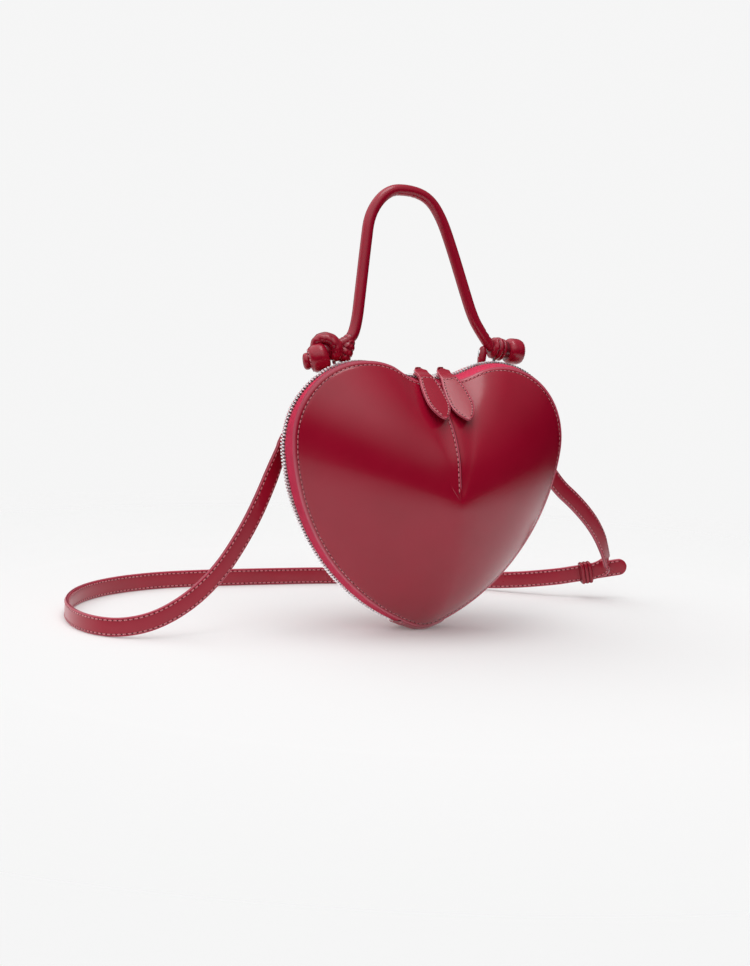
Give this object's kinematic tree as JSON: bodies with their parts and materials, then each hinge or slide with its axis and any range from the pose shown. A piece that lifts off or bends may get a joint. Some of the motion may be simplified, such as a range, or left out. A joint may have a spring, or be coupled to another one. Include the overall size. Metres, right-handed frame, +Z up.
{
  "type": "heart shaped purse",
  "caption": "Heart shaped clamshell purse of domed leather panels, closed by a zip round the rim, with a knotted tube handle and a flat shoulder strap.",
  "frame": {"origin": "on the floor under the tip of the heart, midway between the two panels", "axes": "+Z up from the tip to the handle, +Y from the front panel to the back panel, +X to the right seen from the front"},
  "size_m": [0.4183, 0.2253, 0.2879],
  "materials": {
    "shell_leather": "gloss",
    "trim_leather": "gloss",
    "handle_leather": "gloss",
    "strap_leather": "satin",
    "lining_fabric": "satin",
    "zip_tape": "matte",
    "core_cord": "matte",
    "zip_metal": "polished",
    "ring_metal": "polished"
  },
  "bodies": {
    "back_shell": {"back_panel": "shell_leather", "back_lining": "lining_fabric", "back_zip_tape": "zip_tape", "back_zip_teeth": "zip_metal", "tip_hinge": "shell_leather", "zip_stop_left": "zip_metal", "zip_stop_right": "zip_metal", "ring_tab_left": "trim_leather", "ring_tab_right": "trim_leather", "strap_anchor_left": "trim_leather", "strap_anchor_right": "trim_leather", "strap_long": "strap_leather", "strap_short": "strap_leather", "strap_keeper": "trim_leather"},
    "front_shell": {"front_panel": "shell_leather", "front_lining": "lining_fabric", "front_zip_tape": "zip_tape", "front_zip_teeth": "zip_metal"},
    "slider_left": {"slider_body_left": "zip_metal", "slider_bail_left": "zip_metal"},
    "slider_right": {"slider_body_right": "zip_metal", "slider_bail_right": "zip_metal"},
    "pull_left": {"zip_pull_left": "trim_leather"},
    "pull_right": {"zip_pull_right": "trim_leather"},
    "handle": {"handle_tube": "handle_leather", "handle_core": "core_cord", "knot_left": "handle_leather", "knot_right": "handle_leather", "ring_left": "ring_metal", "ring_right": "ring_metal"}
  },
  "joints": [
    {"name": "front_open", "type": "hinge", "parent": "back_shell", "child": "front_shell", "pos_m": [0, -0.009, 0.0003], "axis": [1, 0, 0], "range_deg": [0, 45]},
    {"name": "slider_left_travel", "type": "hinge", "parent": "front_shell", "child": "slider_left", "pos_m": [0, 0, 0.23478], "axis": [0, 1, 0], "range_deg": [0, 8]},
    {"name": "slider_right_travel", "type": "hinge", "parent": "front_shell", "child": "slider_right", "pos_m": [0, 0, 0.23478], "axis": [0, -1, 0], "range_deg": [0, 8]},
    {"name": "pull_left_swing", "type": "hinge", "parent": "slider_left", "child": "pull_left", "pos_m": [-0.00758, -0.001, 0.16992], "axis": [-0.9994, 0, 0.0349], "range_deg": [0, 60]},
    {"name": "pull_right_swing", "type": "hinge", "parent": "slider_right", "child": "pull_right", "pos_m": [0.00923, -0.001, 0.17014], "axis": [-1, 0, 0], "range_deg": [0, 60]},
    {"name": "handle_swing", "type": "hinge", "parent": "back_shell", "child": "handle", "pos_m": [0, 0.019, 0.17041], "axis": [-1, 0, 0], "range_deg": [-25, 90]}
  ],
  "couplings": [
    {"joint": "slider_left_travel", "follows": "front_open", "ratio": 0.1777},
    {"joint": "slider_right_travel", "follows": "front_open", "ratio": 0.1777}
  ]
}
